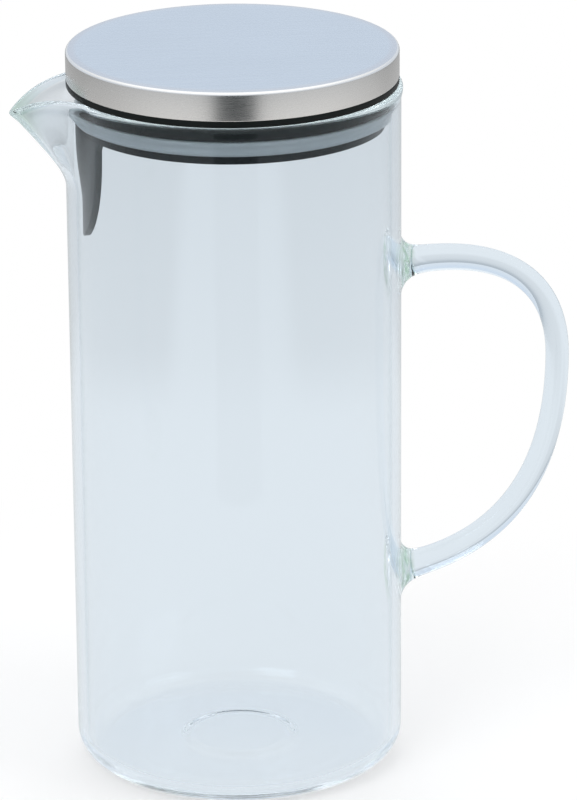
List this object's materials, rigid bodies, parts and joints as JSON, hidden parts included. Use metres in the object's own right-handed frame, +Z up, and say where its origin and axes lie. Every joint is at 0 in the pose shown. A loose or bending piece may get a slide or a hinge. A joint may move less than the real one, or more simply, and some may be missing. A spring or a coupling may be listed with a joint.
{
  "type": "glass pitcher with lid",
  "caption": "Tall cylindrical glass jug with a pulled pouring spout, a welded glass rod handle and a flat steel push-in lid whose black plug carries a seal and a spout shield.",
  "frame": {"origin": "centre of the jug's foot ring, on the jug's axis and in the plane that it stands on", "axes": "+Z up along the jug's axis, +X towards the handle, -X towards the spout"},
  "size_m": [0.1631, 0.098, 0.2176],
  "materials": {
    "glass": "clear borosilicate glass, polished",
    "handle_glass": "clear glass rod, polished, faint green at the welds",
    "steel": "fine brushed stainless steel",
    "plug_plastic": "satin black moulded plastic",
    "silicone": "translucent pale silicone",
    "shield_plastic": "satin black moulded plastic"
  },
  "bodies": {
    "jug": {"jug_body": "glass", "jug_handle": "handle_glass"},
    "seal": {"seal_ring": "silicone"},
    "lid": {"lid_cap": "steel", "lid_plug": "plug_plastic", "spout_shield": "shield_plastic"}
  },
  "joints": [
    {"name": "lid_lift", "type": "slide", "parent": "jug", "child": "seal", "axis": [0, 0, 1], "range_m": [0, 0.07]},
    {"name": "lid_turn", "type": "hinge", "parent": "seal", "child": "lid", "pos_m": [0, 0, 0.2], "axis": [0, 0, 1], "continuous": true}
  ]
}
